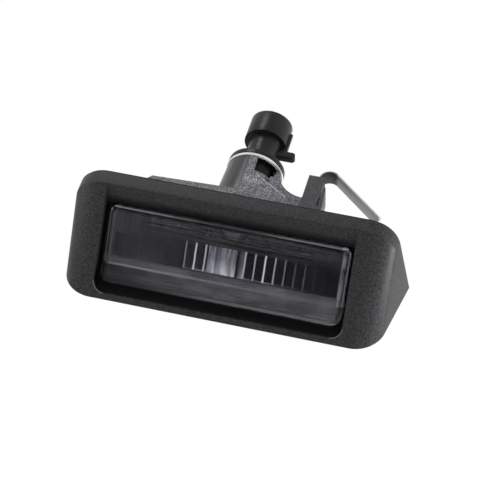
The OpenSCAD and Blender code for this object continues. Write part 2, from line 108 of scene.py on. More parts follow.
# The pocket round the lens, a box just outside its walls, and the inside of the housing's rear wall
POCKET_HALF = 42.7 * MM
POCKET_FOOT = 37.1 * MM
POCKET_R = 4 * MM
POCKET_SIDE = POCKET_HALF + 0.1 * MM
POCKET_TOP = 4 * MM
POCKET_END = POCKET_FOOT + 0.3 * MM
REAR_WALL_FRONT = 13.9 * MM

# The carrier: the edge and the foot of the tube's smooth side, and the left, foot and front of the post
SMOOTH_EDGE = -0.9 * MM
SMOOTH_FOOT = 7.3 * MM
POST_LEFT = 19.8 * MM
POST_FOOT = 6.3 * MM
POST_FRONT = -9 * MM

# How much of the pale grain is left on the post, and at the carrier's right
POST_PALE = 0.24
RIGHT_PALE = 0.7

# The patch of painted glints below the notch, along X and Z
GLINT_ACROSS = (-0.6 * MM, 5 * MM)
GLINT_HEIGHT = (11 * MM, 14 * MM)

# The top of the gusset's front edge, and the way its sloping edge faces, for the highlight painted along it
GUSSET_TOP = (2.6 * MM, -9.8 * MM, 16 * MM)
GUSSET_OUT = (0.545, 0, 0.838)

# The thin guard beside the post: its left, front and foot, and how far its rounded faces look along Y
GUARD_LEFT = 25.9 * MM
GUARD_FRONT = -7.6 * MM
GUARD_FOOT = 6.4 * MM
GUARD_ROUND = (-0.97, -0.2)

# Where the spring's bend, with its painted dark reflection, meets its long leg, along X
BEND_END = 29 * MM

# Shades, as shares of a piece's own colour. Pits and grains are the plastic's own; the pocket's and lower
# face's are painted shade, the corner's, edge's and glints' painted highlights, and the bend's a painted
# reflection
POCKET_PAINTED_SHADE = 0.25
CORNER_HIGHLIGHT = 5
PIT_SHADE = 0.3
GRAIN_SHADE = 5.8
EDGE_HIGHLIGHT = 7
GLINT_SHADE = 9
BEND_DARK_REFLECTION = 0.45
LOWER_FACE_PAINTED_SHADE = 0.3

# The lens. At the real 1.49 the white surroundings would veil its dark inside
LENS_IOR = 1.12
LENS_ROUGHNESS = 0.04

# Specular levels of the housing outside its pocket and in it, where the lower level keeps the painted shade
# dark, of the bulb holder, and of the carrier and rubber
HOUSING_SPECULAR = 0.18
POCKET_SHADE_SPECULAR = 0.05
HOLDER_SPECULAR = 0.17
SPECULAR = 0.3

# Points closer than the first are joined, and faces that turn less than the second. Edges that turn less than
# the third are shaded smooth, and those of the spring that turn more than the last are rounded
WELD = 0.002 * MM
FLAT_WITHIN = math.radians(0.6)
SMOOTH_BELOW = math.radians(32)
SPRING_CREASE = math.radians(60)

# Wire radius, turns and points a turn of the filament's coil, and the gap between it and its box
COIL_WIRE = 0.06 * MM
COIL_TURNS = 16
COIL_STEPS = 12
COIL_GAP = 0.01 * MM

# Size and place of each light, in metres. All of them face the origin
KEY_LIGHT = (0.25, (-0.35, -0.55, 0.55))
SIDE_LIGHT = (0.2, (0.9, 0.04, 0))
LEFT_LIGHT = (0.3, (-0.8, -0.25, -0.05))

LAMP = "lamp"
HOLDER = "bulb_holder"


# Sizes and colours that a user would change

def length(name, description, default_mm):
    return FloatProperty(name=name, description=description, default=default_mm * MM, unit="LENGTH",
                         precision=5)


def angle(name, description, default_deg):
    return FloatProperty(name=name, description=description, default=math.radians(default_deg),
                         subtype="ANGLE")


def colour(name, description, default):
    return FloatVectorProperty(name=name, description=description, default=default, subtype="COLOR",
                               min=0, max=1)


def power(name, description, default):
    return FloatProperty(name=name, description=description, default=default, min=0, unit="POWER")


class EdgeSizes(bpy.types.PropertyGroup):
    housing: length("Housing edges", "Rounding of the housing's edges", 0.45)
    lens: length("Lens edges", "Rounding of the lens's edges", 0.35)
    carrier: length("Carrier edges", "Rounding of the carrier's edges", 0.3)
    holder: length("Holder edges", "Rounding of the bulb holder's edges", 0.35)
    spring: length("Spring edges", "Rounding of the spring strip's edges", 0.2)
    seal: length("Seal edges", "Rounding of the pale seal's edges", 0.25)
    crease_angle: angle("Crease angle", "Edges sharper than this are rounded", 28)


class FinishColours(bpy.types.PropertyGroup):
    housing: colour("Housing", "Black moulded plastic", (0.021, 0.0212, 0.0228))
    carrier: colour("Carrier", "Dark grey textured plastic", (0.052, 0.052, 0.058))
    holder: colour("Bulb holder", "Black plastic", (0.008, 0.008, 0.0086))
    lens: colour("Lens", "Clear plastic with a slight violet cast", (0.68, 0.67, 0.73))
    lens_light: colour("Lens highlights", "Light caught in the lens's edges and flutes", (0.90, 0.94, 1.0))
    pale_seal: colour("Holder seal", "Pale silicone", (0.66, 0.66, 0.61))
    steel: colour("Spring", "Satin spring steel", (0.35, 0.35, 0.34))
    brass: colour("Contacts", "Stamped brass", (0.62, 0.47, 0.22))
    tungsten: colour("Filament", "Tungsten", (0.22, 0.22, 0.23))
    foam: colour("Gasket", "Black foam rubber", (0.012, 0.012, 0.013))


class CameraSettings(bpy.types.PropertyGroup):
    azimuth: angle("Azimuth", "How far the camera stands to the lamp's right", 13.92)
    elevation: angle("Elevation", "How far the camera stands below the lamp", 38.59)
    roll: angle("Roll", "Clockwise turn of the lamp in the picture", 19.63)
    distance: length("Distance", "From the camera to the point it aims at", 700)
    px_per_mm: FloatProperty(name="Scale", description="Picture pixels for a millimetre at the aim",
                             default=3.005)
    aim: FloatVectorProperty(name="Aim", description="Point at the middle of the picture",
                             subtype="TRANSLATION", default=(2.61 * MM, 0, -6.15 * MM))


class StageSettings(bpy.types.PropertyGroup):
    floor_drop: length("Floor drop", "Height of the lamp's seat above the floor", 600)
    floor_size: length("Floor size", "Side of the floor", 40000)
    fill: FloatProperty(name="Fill", description="Strength of the light from all round", default=0.6, min=0)
    key: power("Key light", "Power of the main light", 1.8)
    side: power("Side light", "Power of the light at the right", 13.0)
    left: power("Left light", "Power of the light at the left", 3.5)


GROUPS = {
    "lamp_edges": EdgeSizes,
    "lamp_colours": FinishColours,
    "lamp_camera": CameraSettings,
    "lamp_stage": StageSettings,
}


# Shader nodes

def new_material(name):
    material = bpy.data.materials.new(name)
    material.use_nodes = True
    tree = material.node_tree
    tree.nodes.clear()
    output = tree.nodes.new("ShaderNodeOutputMaterial")
    shader = tree.nodes.new("ShaderNodeBsdfPrincipled")
    tree.links.new(shader.outputs["BSDF"], output.inputs["Surface"])
    return material, tree, shader


def set_input(place, value):
    """Sets an input to a plain value, or links it to a socket"""
    if isinstance(value, bpy.types.NodeSocket):
        place.id_data.links.new(value, place)
    else:
        place.default_value = value


def set_inputs(node, **values):
    for name, value in values.items():
        set_input(node.inputs[name.replace("_", " ")], value)


def arithmetic(tree, operation, *values):
    """One step of arithmetic on sockets or numbers"""
    node = tree.nodes.new("ShaderNodeMath")
    node.operation = operation
    for place, value in zip(node.inputs, values):
        set_input(place, value)
    return node.outputs["Value"]


def highest(tree, *values):
    top = values[0]
    for value in values[1:]:
        top = arithmetic(tree, "MAXIMUM", top, value)
    return top


def product(tree, *values):
    total = values[0]
    for value in values[1:]:
        total = arithmetic(tree, "MULTIPLY", total, value)
    return total


def one_minus(tree, value):
    return arithmetic(tree, "SUBTRACT", 1.0, value)


def object_coordinates(tree):
    return tree.nodes.new("ShaderNodeTexCoord").outputs["Object"]


def stretched(tree, scale):
    """Object coordinates times a scale, so that noise on them turns to streaks"""
    mapping = tree.nodes.new("ShaderNodeMapping")
    set_inputs(mapping, Vector=object_coordinates(tree), Scale=scale)
    return mapping.outputs["Vector"]


def position_part(tree, direction, start=(0, 0, 0)):
    """How far a point lies along a direction, from a start point"""
    offset = tree.nodes.new("ShaderNodeVectorMath")
    offset.operation = "SUBTRACT"
    set_input(offset.inputs[0], object_coordinates(tree))
    set_input(offset.inputs[1], start)
    along = tree.nodes.new("ShaderNodeVectorMath")
    along.operation = "DOT_PRODUCT"
    set_input(along.inputs[0], offset.outputs["Vector"])
    set_input(along.inputs[1], direction)
    return along.outputs["Value"]


def noise(tree, where, scale, detail=4.0, roughness=0.55):
    node = tree.nodes.new("ShaderNodeTexNoise")
    set_inputs(node, Vector=where, Scale=scale, Detail=detail, Roughness=roughness)
    return node.outputs["Fac"]


def ramp(tree, value, low, high, start=0.0, end=1.0):
    """Low up to the start, high from the end on, and even between them"""
    node = tree.nodes.new("ShaderNodeMapRange")
    set_inputs(node, Value=value, From_Min=start, From_Max=end, To_Min=low, To_Max=high)
    return node.outputs["Result"]


def spread(tree, value, low, high, width):
    """Low to high over a width on either side of a half, where the values of noise crowd"""
    return ramp(tree, value, low, high, 0.5 - width, 0.5 + width)


def after(tree, value, place, blur):
    """0 before a place and 1 after it, with a soft step"""
    return ramp(tree, value, 0, 1, place - blur, place + blur)


def before(tree, value, place, blur):
    """1 before a place and 0 after it, with a soft step"""
    return ramp(tree, value, 1, 0, place - blur, place + blur)


def between(tree, value, low, high, blur):
    """1 where the value lies between low and high, with soft ends"""
    return arithmetic(tree, "MINIMUM", after(tree, value, low, blur), before(tree, value, high, blur))


def shade(rgb, factor):
    return tuple(min(1.0, c * factor) for c in rgb)


def tint(tree, value, low, high):
    """One plain colour where the value is 0, and another where it is 1"""
    node = tree.nodes.new("ShaderNodeMix")
    node.data_type = "RGBA"
    set_inputs(node, Factor=value, A=(*low, 1), B=(*high, 1))
    return node.outputs["Result"]


def mottled(tree, value, rgb, dark, pale):
    """A colour's dark shade where the value is 0, and its pale shade where it is 1"""
    return tint(tree, value, shade(rgb, dark), shade(rgb, pale))


def blend(tree, share, under, over):
    """A colour socket changed to a plain colour by a share"""
    node = tree.nodes.new("ShaderNodeMix")
    node.data_type = "RGBA"
    set_inputs(node, Factor=share, A=under, B=(*over, 1))
    return node.outputs["Result"]


def bump(tree, shader, height, depth, strength=1.0, under=None):
    node = tree.nodes.new("ShaderNodeBump")
    set_inputs(node, Strength=strength, Distance=depth, Height=height)
    if under is not None:
        set_inputs(node, Normal=under)
    set_inputs(shader, Normal=node.outputs["Normal"])
    return node.outputs["Normal"]


# Plastic of the housing, the bulb holder and the pale highlight painted on the carrier's guard edge

def grained_plastic(name, rgb, roughness, grain, depth, specular):
    """Moulded plastic with a fine grain that breaks up its sheen"""
    material, tree, shader = new_material(name)
    where = object_coordinates(tree)
    fine = noise(tree, where, grain)
    mottle = spread(tree, noise(tree, where, grain * 0.7, detail=2), 0, 1, width=0.15)
    set_inputs(shader, Base_Color=mottled(tree, mottle, rgb, dark=0.85, pale=1.15),
               Roughness=spread(tree, fine, roughness - 0.08, roughness + 0.1, width=0.2),
               Specular_IOR_Level=specular)
    bump(tree, shader, fine, depth)
    return material


def pocket_shade_share(tree, aside, down, depth):
    """1 on the walls of the pocket and of the chamber behind the lens, where shade is painted"""
    behind_front = after(tree, depth, 2.6 * MM, MM)
    under_lens = product(tree, after(tree, down, 29 * MM, MM), after(tree, depth, 0.325 * MM, 0.175 * MM))
    return product(tree, highest(tree, behind_front, under_lens),
                   before(tree, position_part(tree, INWARD), REAR_WALL_FRONT + 0.1 * MM, SOFT),
                   before(tree, aside, POCKET_SIDE, SOFT),
                   between(tree, down, POCKET_TOP, POCKET_END, SOFT))


def pocket_corner_highlight(tree, aside, down, depth):
    """1 along the front edge of the pocket's two rounded lower corners, where a highlight is painted"""
    out = arithmetic(tree, "MAXIMUM", arithmetic(tree, "SUBTRACT", aside, POCKET_HALF - POCKET_R), 0.0)
    below = arithmetic(tree, "MAXIMUM", arithmetic(tree, "SUBTRACT", down, POCKET_FOOT - POCKET_R), 0.0)
    squares = arithmetic(tree, "ADD", product(tree, out, out), product(tree, below, below))
    reach = arithmetic(tree, "SQRT", squares)
    on_arc = between(tree, reach, POCKET_R - 0.05 * MM, POCKET_R + 0.3 * MM, SOFT)
    off_straights = ramp(tree, product(tree, out, below), 0, 1, 0, 2 * MM * MM)
    at_front = between(tree, depth, -0.3 * MM, 0.6 * MM, SOFT)
    return product(tree, on_arc, off_straights, at_front)


def pocketed_plastic(name, rgb, specular):
    """Grained black plastic, with shade painted almost black inside the lens's pocket and a highlight painted
    pale along the pocket's lower corners
    """
    material, tree, shader = new_material(name)
    aside = arithmetic(tree, "ABSOLUTE", position_part(tree, ACROSS))
    down = position_part(tree, SLOPE_DOWN, SLOPE_START)
    depth = position_part(tree, SLOPE_IN, SLOPE_START)
    grain = noise(tree, object_coordinates(tree), scale=1500, detail=3, roughness=0.6)
    grained = mottled(tree, spread(tree, grain, 0, 1, width=0.14), rgb, dark=0.45, pale=1.6)
    # Painted shade: the pocket's walls and the chamber behind the lens darkened to a quarter of the colour
    pocket_shaded = blend(tree, pocket_shade_share(tree, aside, down, depth), grained, shade(rgb, POCKET_PAINTED_SHADE))
    # Painted highlight along the front edge of the pocket's rounded lower corners
    highlighted = blend(tree, pocket_corner_highlight(tree, aside, down, depth), pocket_shaded, shade(rgb, CORNER_HIGHLIGHT))
    set_inputs(shader, Base_Color=highlighted, Roughness=spread(tree, grain, 0.4, 0.58, width=0.2),
               Specular_IOR_Level=specular)
    bump(tree, shader, grain, depth=0.06 * MM)
    return material


# Plastic of the carrier

def post_share(tree, across, height):
    """1 on the post"""
    upper = after(tree, height, POST_FOOT, 0.2 * MM)
    front = before(tree, position_part(tree, INWARD), POST_FRONT, 0.2 * MM)
    return product(tree, after(tree, across, POST_LEFT, 0.2 * MM), highest(tree, upper, front))


def speckled(tree, rgb, across, height, pits):
    """Pale grains on dark plastic, dimmer towards the right, and a patch of glints painted brightest below
    the notch
    """
    patches = spread(tree, noise(tree, object_coordinates(tree), scale=500, detail=2), 0.72, 1.25, width=0.15)
    dimmer = ramp(tree, across, 1, RIGHT_PALE, 8 * MM, 15 * MM)
    grains = product(tree, ramp(tree, pits, 0.12, 1, 0.42, 0.64), patches, dimmer)
    # Painted highlight: bright glints on a patch below the notch
    painted_glints = product(tree, between(tree, across, *GLINT_ACROSS, 0.8 * MM),
                     between(tree, height, *GLINT_HEIGHT, MM), ramp(tree, pits, 0, 0.8, 0.46, 0.56))
    under = mottled(tree, grains, rgb, dark=PIT_SHADE, pale=GRAIN_SHADE)
    return blend(tree, painted_glints, under, shade(rgb, GLINT_SHADE))


def gusset_edge_highlight(tree, across, pits):
    """1 on the upper edge of the gusset's front, where a highlight is painted, broken up by the texture"""
    below = position_part(tree, GUSSET_OUT, GUSSET_TOP)
    front = position_part(tree, FORWARD, GUSSET_TOP)
    return product(tree, between(tree, below, -0.45 * MM, 0.3 * MM, 0.05 * MM),
                   between(tree, front, -0.4 * MM, MM, SOFT),
                   between(tree, across, 3 * MM, 15 * MM, 0.3 * MM), ramp(tree, pits, 0.2, 1, 0.38, 0.5))


def sparkly_plastic(name, rgb):
    """Coarse spark-eroded texture, smooth on the tube's left side, darker on the post, with shade painted
    inside below the seat and a highlight painted along the gusset's edge
    """
    material, tree, shader = new_material(name)
    where = object_coordinates(tree)
    across = position_part(tree, ACROSS)
    height = position_part(tree, UPWARD)
    smooth = product(tree, before(tree, across, SMOOTH_EDGE, 0.5 * MM),
                     after(tree, height, SMOOTH_FOOT, 0.3 * MM))
    rough = one_minus(tree, smooth)
    pits = noise(tree, where, scale=1900, detail=3, roughness=0.7)
    post = ramp(tree, post_share(tree, across, height), 1, POST_PALE)
    # Painted shade: below the seat, inside the lamp, the plastic is plain dark without pale grains
    above_painted_shade = after(tree, height, 0.4 * MM, 0.4 * MM)
    plain = one_minus(tree, product(tree, rough, post, above_painted_shade))
    textured = blend(tree, plain, speckled(tree, rgb, across, height, pits), shade(rgb, PIT_SHADE))
    # Painted highlight along the gusset's upper edge
    highlighted = blend(tree, gusset_edge_highlight(tree, across, pits), textured, shade(rgb, EDGE_HIGHLIGHT))
    set_inputs(shader, Base_Color=highlighted, Roughness=ramp(tree, rough, 0.32, 0.4), Specular_IOR_Level=SPECULAR)
    facets = tree.nodes.new("ShaderNodeTexVoronoi")
    set_inputs(facets, Vector=where, Scale=2400.0, Randomness=1.0)
    pitted = bump(tree, shader, product(tree, pits, rough), depth=0.3 * MM, strength=0.9)
    faceted = product(tree, facets.outputs["Distance"], rough)
    bump(tree, shader, faceted, depth=0.12 * MM, strength=0.8, under=pitted)
    return material


# Rubber, metal and the bulb's glass

def rubber(name, rgb, grain, depth, roughness=0.75):
    material, tree, shader = new_material(name)
    cells = noise(tree, object_coordinates(tree), grain, detail=2)
    set_inputs(shader, Base_Color=mottled(tree, cells, rgb, dark=0.85, pale=1.12), Roughness=roughness,
               Specular_IOR_Level=SPECULAR)
    bump(tree, shader, cells, depth)
    return material


def metal(name, rgb, roughness):
    material, tree, shader = new_material(name)
    grain = noise(tree, object_coordinates(tree), scale=900, detail=3)
    set_inputs(shader, Base_Color=mottled(tree, grain, rgb, dark=0.88, pale=1.08),
               Roughness=ramp(tree, grain, roughness - 0.06, roughness + 0.08), Metallic=1.0)
    bump(tree, shader, grain, depth=0.01 * MM, strength=0.5)
    return material


def bent_steel(name, rgb):
    """Rolled steel strip, with a dark reflection painted round its bend"""
    material, tree, shader = new_material(name)
    lines = noise(tree, stretched(tree, (1, 0.08, 1)), scale=700, detail=3)
    rolled = mottled(tree, lines, rgb, dark=1.02, pale=1.3)
    # Painted reflection: the bend darkened as if it mirrored something dark
    bend = before(tree, position_part(tree, ACROSS), BEND_END, 0.5 * MM)
    set_inputs(shader, Base_Color=blend(tree, bend, rolled, shade(rgb, BEND_DARK_REFLECTION)),
               Roughness=ramp(tree, lines, 0.44, 0.58), Metallic=1.0)
    bump(tree, shader, lines, depth=0.01 * MM, strength=0.5)
    return material


def clear(name, rgb, ior, roughness):
    material, tree, shader = new_material(name)
    haze = noise(tree, object_coordinates(tree), scale=60, detail=3)
    set_inputs(shader, Base_Color=(*rgb, 1), Roughness=ramp(tree, haze, roughness * 0.6, roughness * 1.5),
               IOR=ior, Transmission_Weight=1.0)
    return material


# Clear plastic of the lens

def flute_lines(tree, across, down):
    """Light in the steep side and the foot of each upright flute, brightest near the bulb"""
    cell = arithmetic(tree, "DIVIDE", arithmetic(tree, "SUBTRACT", across, FLUTE_PHASE), FLUTE_PITCH)
    number = arithmetic(tree, "ROUND", cell)
    vary = ramp(tree, arithmetic(tree, "FRACT", product(tree, number, FLUTE_VARY)), 0.4, 1)
    bright = product(tree, ramp(tree, across, 0.03, 1, -14.5 * MM, -13.5 * MM),
                     one_minus(tree, between(tree, across, *NO_FLUTES, 0.2 * MM)),
                     ramp(tree, across, 1, 0.4, 15 * MM, 18 * MM),
                     ramp(tree, across, 1, 0.2, 20 * MM, 29 * MM),
                     ramp(tree, across, 1, 0, 29 * MM, 36 * MM))
    wave = ramp(tree, noise(tree, stretched(tree, (0.2, 1, 1)), scale=350, detail=2), -0.05, 0.05)
    turn = arithmetic(tree, "ADD", arithmetic(tree, "FRACT", cell), wave)
    side = between(tree, turn, *FLUTE_SIDE, FLUTE_BLUR)
    foot = between(tree, down, FLUTE_FOOT - 0.35 * MM, FLUTE_FOOT, 0.06 * MM)
    return product(tree, highest(tree, side, product(tree, foot, FLUTE_FOOT_LIGHT)), bright, vary)


def bulb_patch(tree, across, down):
    """The bulb's light behind the flutes: a streaked patch with a darker split, and a dim strip beside it"""
    streaks = noise(tree, stretched(tree, (1, 0.1, 0.1)), scale=700, detail=4, roughness=0.7)
    from_split = arithmetic(tree, "ABSOLUTE", arithmetic(tree, "SUBTRACT", across, PATCH_SPLIT))
    patch = product(tree, between(tree, across, *PATCH, 0.12 * MM),
                    ramp(tree, from_split, 0.5, 1, 0, 0.6 * MM),
                    spread(tree, streaks, 0.22, 0.74, width=0.14))
    beside = product(tree, between(tree, across, *BESIDE, 0.2 * MM), ramp(tree, across, 0, 0.5, *BESIDE))
    brighter_below = ramp(tree, down, 0.55, 1.3, FLUTE_TOP + 4 * MM, FLUTE_FOOT)
    return product(tree, highest(tree, patch, beside), brighter_below)


def flute_marks(tree, across, down, depth):
    """Light in the flutes, which are on the inner side of the lens"""
    lit = highest(tree, flute_lines(tree, across, down), bulb_patch(tree, across, down))
    return product(tree, lit, between(tree, down, FLUTE_TOP, FLUTE_FOOT, SOFT),
                   after(tree, depth, INNER_SKIN - 0.35 * MM, 0.15 * MM))


def side_marks(tree, across, aside, down, smudge):
    """Light along both sides of the rim and of the raised face, and on the wall between them at the right"""
    outer = between(tree, aside, LENS_HALF - 0.8 * MM, LENS_HALF - 0.4 * MM, 0.08 * MM)
    inner = between(tree, aside, FACE_HALF - 0.35 * MM, FACE_HALF + 0.4 * MM, 0.12 * MM)
    lines = highest(tree, product(tree, outer, OUTER_LIGHT), product(tree, inner, INNER_LIGHT))
    brighter_right = ramp(tree, across, 1, 1.15, 0, 10 * MM)
    wall = product(tree, between(tree, across, FACE_HALF, LENS_HALF - 0.5 * MM, SOFT), smudge, WALL_LIGHT)
    return product(tree, highest(tree, product(tree, lines, brighter_right), wall),
                   between(tree, down, LENS_TOP + 0.5 * MM, LENS_RIDGE, 0.3 * MM))


def edge_marks(tree, across, down, smudge):
    """Light along the rim of the lens, its raised face and its ridge"""
    aside = arithmetic(tree, "ABSOLUTE", across)
    within = before(tree, aside, LENS_HALF - 0.5 * MM, SOFT)
    corners = between(tree, aside, FACE_HALF - 1.2 * MM, FACE_HALF + 0.9 * MM, 0.2 * MM)
    from_left = ramp(tree, across, 0.5, 0.12, -36 * MM, -8 * MM)
    to_right = ramp(tree, across, 0.05, 0.34, 5 * MM, 20 * MM)
    top = product(tree, between(tree, down, LENS_TOP, LENS_TOP + 0.4 * MM, 0.08 * MM), within,
                  highest(tree, product(tree, corners, CORNER_LIGHT), from_left, to_right))
    ridge = product(tree, between(tree, down, LENS_RIDGE - 0.5 * MM, LENS_RIDGE - 0.1 * MM, 0.08 * MM),
                    before(tree, aside, FACE_HALF, SOFT),
                    ramp(tree, across, 0.24, 0.09, -30 * MM, 25 * MM))
    foot = product(tree, between(tree, down, LENS_FOOT - 0.9 * MM, LENS_FOOT - 0.1 * MM, 0.15 * MM), within,
                   ramp(tree, across, 0.06, 0.22, -34 * MM, 10 * MM))
    return highest(tree, top, side_marks(tree, across, aside, down, smudge), ridge, foot)


def haze_and_sheen_marks(tree, across, down, smudge, lower_face):
    """Grey cast of the lens with level lines at its top and upright ones at its left, and a painted sheen
    from the flutes' foot down, palest in its lower face
    """
    lines = noise(tree, stretched(tree, (0.03, 1, 1)), scale=900, detail=2, roughness=0.6)
    level = product(tree, spread(tree, lines, 0, 0.036, width=0.1),
                    ramp(tree, down, 1, 0, FLUTE_TOP - MM, FLUTE_TOP))
    fine = noise(tree, stretched(tree, (1, 0.05, 0.05)), scale=1500, detail=2, roughness=0.6)
    upright = product(tree, spread(tree, fine, 0.4, 1.6, width=0.12),
                      ramp(tree, across, 0.03, 0.003, -38 * MM, 2 * MM))
    # Painted sheen from the flutes' foot down past the ridge
    sheen_below_flutes = product(tree, ramp(tree, down, 0, 0.055, FLUTE_FOOT - 0.1 * MM, FLUTE_FOOT + 0.5 * MM),
                          ramp(tree, down, 1, 1.6, FLUTE_FOOT, LENS_RIDGE), ramp(tree, smudge, 0.5, 1.3))
    # Painted sheen on the lower face, palest towards its foot and right
    lower = product(tree, lower_face, ramp(tree, down, 0.2, 1.5, LENS_RIDGE + MM, LENS_FOOT - MM),
                    ramp(tree, smudge, 0.2, 1.5), ramp(tree, across, 0.02, 0.1, -30 * MM, 38 * MM))
    return highest(tree, level, upright, sheen_below_flutes, lower)


def fluted_clear(name, rgb, light):
    """Clear plastic that catches light along its edges and flutes, most of all in front of the bulb"""
    material, tree, shader = new_material(name)
    across = position_part(tree, ACROSS)
    down = position_part(tree, SLOPE_DOWN, SLOPE_START)
    depth = position_part(tree, SLOPE_IN, SLOPE_START)
    smears = noise(tree, stretched(tree, (0.5, 1, 1)), scale=240, detail=4, roughness=0.6)
    smudge = spread(tree, smears, 0, 1, width=0.15)
    lower_face = after(tree, down, LENS_RIDGE + 0.15 * MM, 0.15 * MM)
    lit = highest(tree, flute_marks(tree, across, down, depth), edge_marks(tree, across, down, smudge),
                  haze_and_sheen_marks(tree, across, down, smudge, lower_face))
    # Painted shade: the lower face darkened towards its left
    dim = product(tree, lower_face, ramp(tree, across, 0.9, 0.25, -38 * MM, -5 * MM))
    with_painted_shade = blend(tree, dim, tint(tree, lit, rgb, light), shade(rgb, LOWER_FACE_PAINTED_SHADE))
    set_inputs(shader, Base_Color=with_painted_shade, Transmission_Weight=one_minus(tree, lit), Roughness=LENS_ROUGHNESS,
               IOR=LENS_IOR)
    return material


# Mesh helpers

def deselect_all():
    bpy.ops.object.select_all(action="DESELECT")


def work_on(piece):
    deselect_all()
    piece.select_set(True)
    bpy.context.view_layer.objects.active = piece


def copy_of(node, name, finishes=1):
    """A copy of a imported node's mesh, with its loose triangles joined and its flat faces made whole"""
    piece = bpy.data.objects.new(name, frame["nodes"][node].data.copy())
    piece.data.name = name
    piece.data.materials.clear()
    for _ in range(finishes):
        piece.data.materials.append(None)
    bpy.context.scene.collection.objects.link(piece)
    work_on(piece)
    bpy.ops.object.mode_set(mode="EDIT")
    bpy.ops.mesh.select_all(action="SELECT")
    bpy.ops.mesh.remove_doubles(threshold=WELD)
    bpy.ops.mesh.dissolve_limited(angle_limit=FLAT_WITHIN)
    bpy.ops.mesh.select_all(action="DESELECT")
    bpy.ops.object.mode_set(mode="OBJECT")
    return piece


def round_edges(piece, width, sharper_than, segments=3):
    """Bevels the edges that turn more than an angle"""
    modifier = piece.modifiers.new("rounded edges", "BEVEL")
    modifier.width = width
    modifier.segments = segments
    modifier.limit_method = "ANGLE"
    modifier.angle_limit = sharper_than
    modifier.use_clamp_overlap = True
    work_on(piece)
    bpy.ops.object.modifier_apply(modifier=modifier.name)
    bpy.ops.object.shade_smooth_by_angle(angle=SMOOTH_BELOW)


def finish_faces(piece, index, chosen):
    """Gives another of the piece's finishes to the faces that a test on their middle and normal chooses"""
    for face in piece.data.polygons:
        if chosen(face.center, face.normal):
            face.material_index = index


def coil_in(node, name):
    """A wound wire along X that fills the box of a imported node"""
    corners = [Vector(corner) for corner in node.bound_box]
    low = Vector(min(c[axis] for c in corners) for axis in range(3))
    high = Vector(max(c[axis] for c in corners) for axis in range(3))
    middle = (low + high) / 2
    winding = (high.z - low.z) / 2 - COIL_WIRE - COIL_GAP
    steps = COIL_TURNS * COIL_STEPS
    curve = bpy.data.curves.new(name, "CURVE")
    curve.dimensions = "3D"
    curve.bevel_depth = COIL_WIRE
    curve.bevel_resolution = 2
    curve.use_fill_caps = True
    line = curve.splines.new("POLY")
    line.points.add(steps)
    for step, point in enumerate(line.points):
        turn = math.tau * step / COIL_STEPS
        x = low.x + COIL_WIRE + (high.x - low.x - 2 * COIL_WIRE) * step / steps
        point.co = (x, middle.y + winding * math.sin(turn), middle.z + winding * math.cos(turn), 1)
    piece = bpy.data.objects.new(name, curve)
    bpy.context.scene.collection.objects.link(piece)
    work_on(piece)
    bpy.ops.object.convert(target="MESH")
    piece = bpy.context.object
    piece.data.name = name
    piece.data.materials.clear()
    piece.data.materials.append(None)
    bpy.ops.object.shade_smooth()
    return piece


def dress(piece, materials, slot, body, *nodes):
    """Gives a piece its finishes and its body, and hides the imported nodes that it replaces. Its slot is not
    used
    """
    for place, material in enumerate(materials):
        piece.data.materials[place] = material
    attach(piece, body)
    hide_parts(*nodes)


def coat(node, material):
    """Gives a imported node, whose shape stays, its finish"""
    mesh = frame["nodes"][node].data
    mesh.materials.clear()
    mesh.materials.append(material)


def settings(context):
    scene = context.scene
    return scene.lamp_edges, scene.lamp_colours


# Pieces

def in_pocket(at, normal):
    """The walls of the pocket and of the chamber behind the lens, which get the less glossy copy of the
    plastic that keeps the painted shade dark
    """
    from_start = at - Vector(SLOPE_START)
    down = from_start.dot(Vector(SLOPE_DOWN))
    depth = from_start.dot(Vector(SLOPE_IN))
    behind_front = depth > 0.5 * MM and at.y < REAR_WALL_FRONT
    return behind_front and abs(at.x) < POCKET_SIDE and POCKET_TOP < down < POCKET_END


class LAMP_OT_housing(bpy.types.Operator):
    """Make the black wedge housing with its softened crease"""
    bl_idname = "plate_lamp.housing"
    bl_label = "Housing"

    def execute(self, context):
        edges, colours = settings(context)
        piece = copy_of("housing", "housing_moulding", finishes=2)
        round_edges(piece, edges.housing, edges.crease_angle)
        finish_faces(piece, 1, in_pocket)
        outside = pocketed_plastic("housing plastic", colours.housing, HOUSING_SPECULAR)
        # A shaded copy of the plastic for the pocket, with less sheen so that its painted shade stays dark
        inside = pocketed_plastic("shaded pocket plastic", colours.housing, POCKET_SHADE_SPECULAR)
        dress(piece, [outside, inside], "housing_plastic", LAMP, "housing")
        return {"FINISHED"}


class LAMP_OT_lens(bpy.types.Operator):
    """Make the clear lens and the seal behind it"""
    bl_idname = "plate_lamp.lens"
    bl_label = "Lens and seal"

    def execute(self, context):
        edges, colours = settings(context)
        piece = copy_of("lens", "lens_moulding")
        round_edges(piece, edges.lens, edges.crease_angle, segments=2)
        plastic = fluted_clear("clear lens plastic", colours.lens, colours.lens_light)
        dress(piece, [plastic], "lens_clear", LAMP, "lens")
        coat("lens_seal", rubber("lens seal rubber", colours.foam, grain=1200, depth=0.02 * MM))
        return {"FINISHED"}


def on_guard_edge(at, normal):
    """The rounded front edges of the thin guard beside the post, which get a pale copy of the carrier plastic
    as a painted highlight
    """
    rounded = GUARD_ROUND[0] < normal.y < GUARD_ROUND[1]
    return rounded and at.x > GUARD_LEFT and at.y < GUARD_FRONT and at.z > GUARD_FOOT


